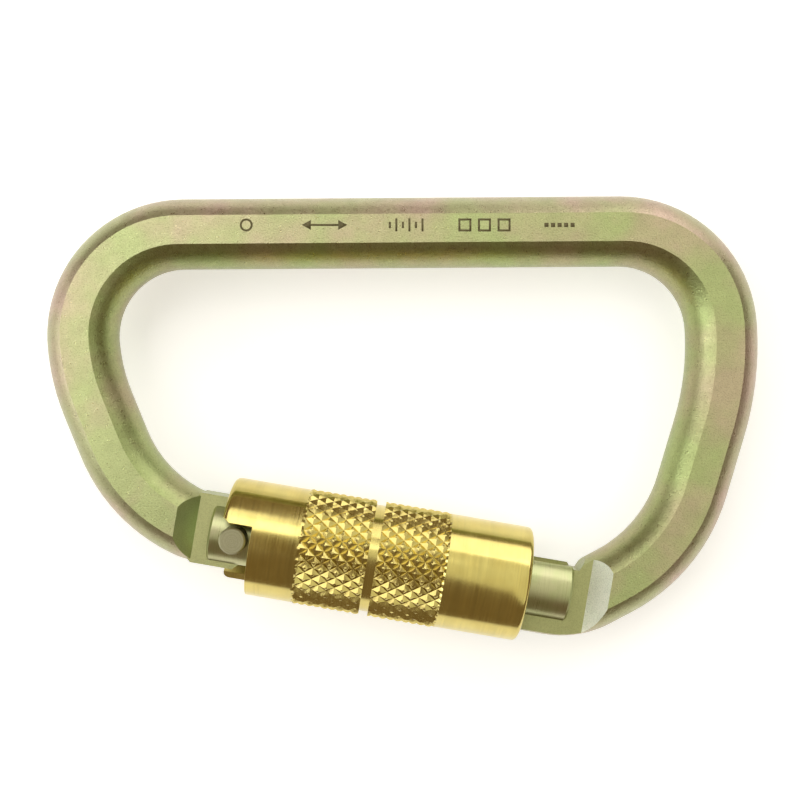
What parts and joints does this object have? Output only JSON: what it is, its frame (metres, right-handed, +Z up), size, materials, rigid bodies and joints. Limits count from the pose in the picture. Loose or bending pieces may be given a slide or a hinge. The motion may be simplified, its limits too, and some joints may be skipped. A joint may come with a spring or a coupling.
{
  "type": "locking carabiner",
  "caption": "Offset-D steel carabiner with a sprung gate and an auto-locking knurled twist sleeve that covers the gate's nose end.",
  "frame": {"origin": "under the middle of the whole object's box, at the level of the sleeve's underside", "axes": "the D lies flat; +X along the spine from the hinge end to the nose end, +Y across the D from the gate to the spine, +Z up out of the face that shows the rivet head"},
  "size_m": [0.1116, 0.0698, 0.0182],
  "materials": {
    "zinc_steel": "satin, fine grain, yellow passivated zinc",
    "gate_steel": "polished, yellow passivated zinc",
    "rivet_steel": "satin steel",
    "spring_steel": "drawn wire",
    "ring_steel": "turned steel",
    "brass": "turned and polished, two diamond knurled bands"
  },
  "bodies": {
    "frame_body": {"frame": "zinc_steel"},
    "gate": {"gate_body": "gate_steel", "hinge_rivet": "rivet_steel", "latch_pin": "rivet_steel", "anchor_ring": "ring_steel", "retaining_clip": "spring_steel", "gate_spring": "spring_steel", "sleeve_spring": "spring_steel"},
    "sleeve": {"locking_sleeve": "brass", "drive_ring": "ring_steel"},
    "plunger": {"gate_plunger": "rivet_steel"}
  },
  "joints": [
    {"name": "gate_open", "type": "hinge", "parent": "frame_body", "child": "gate", "pos_m": [-0.02582, -0.01852, 0.00911], "axis": [0, 0, 1], "range_deg": [0, 20], "stiffness_Nm_per_rad": 0.15, "springref_deg": -22.92},
    {"name": "sleeve_twist", "type": "hinge", "parent": "gate", "child": "sleeve", "pos_m": [-0.02582, -0.01852, 0.00911], "axis": [-0.9855, 0.1695, 0], "range_deg": [0, 100], "stiffness_Nm_per_rad": 0.012, "springref_deg": -57.3, "deforming": ["sleeve_spring"]},
    {"name": "plunger_slide", "type": "slide", "parent": "gate", "child": "plunger", "axis": [0.9855, -0.1695, 0], "range_m": [0, 0.00125], "deforming": ["gate_spring"]}
  ],
  "couplings": [
    {"joint": "sleeve_twist", "follows": "gate_open", "ratio": 5},
    {"joint": "plunger_slide", "follows": "gate_open", "m_per_rad": 0.0034369}
  ]
}
